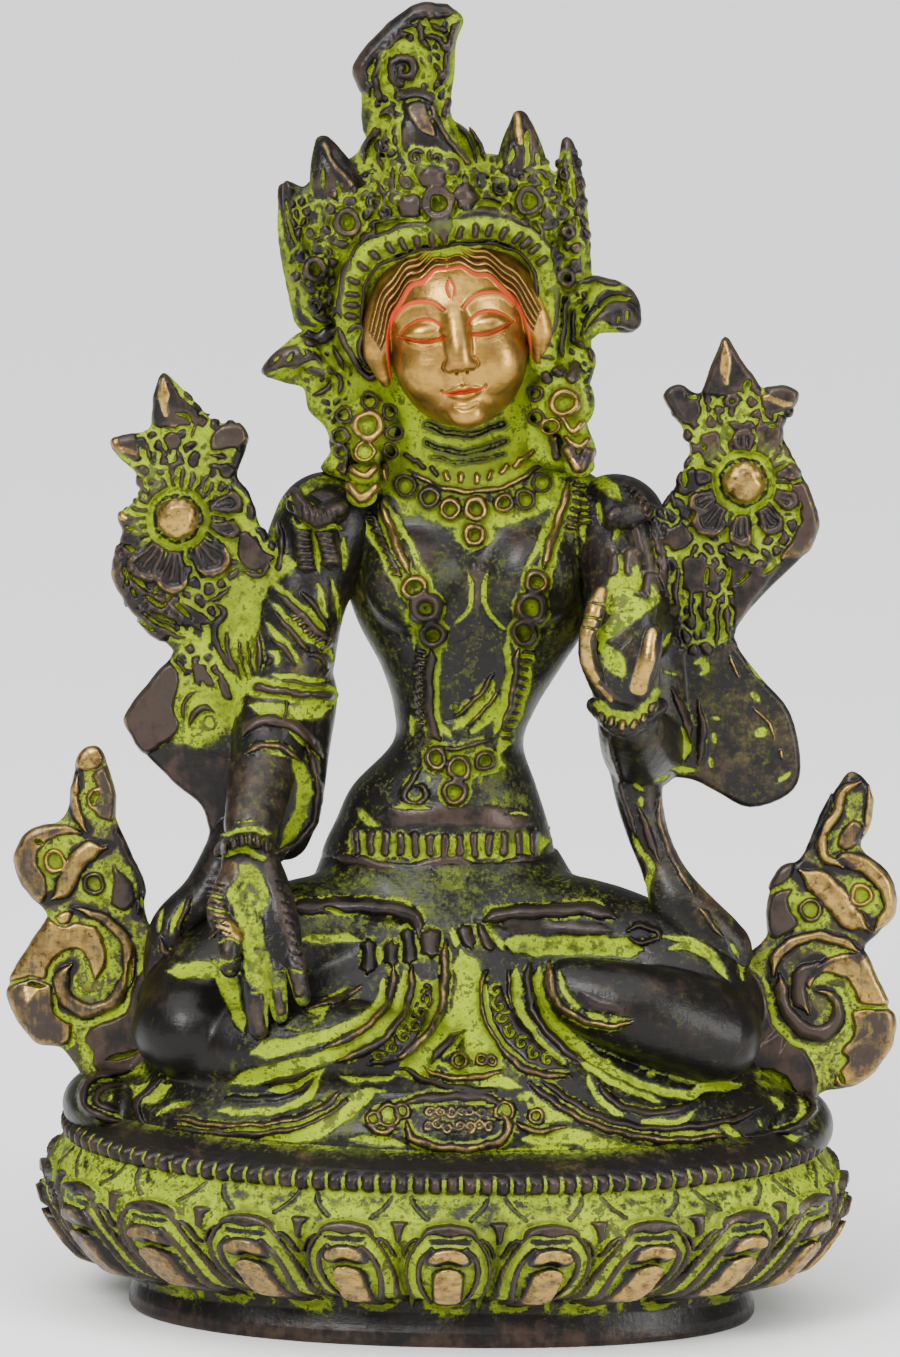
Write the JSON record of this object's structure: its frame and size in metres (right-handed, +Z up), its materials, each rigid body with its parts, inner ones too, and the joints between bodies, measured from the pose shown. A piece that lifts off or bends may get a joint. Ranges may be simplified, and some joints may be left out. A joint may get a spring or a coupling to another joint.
{
  "type": "cast tara figure",
  "caption": "Cast brass seated Tara figure, cross-legged on an oval double-lotus plinth, with lotus sprays at the shoulders and flame scrolls at the knees.",
  "frame": {"origin": "middle of the plinth's underside", "axes": "+Z up through the crown, -Y the front of the figure, +X to the right of someone looking at its front"},
  "size_m": [0.147, 0.0896, 0.2159],
  "materials": {
    "brass": "dark semi-gloss patina rubbed bright on raised edges, yellow-green verdigris paint in the recesses"
  },
  "bodies": {
    "root": {"tara_figure": "brass"}
  },
  "joints": []
}
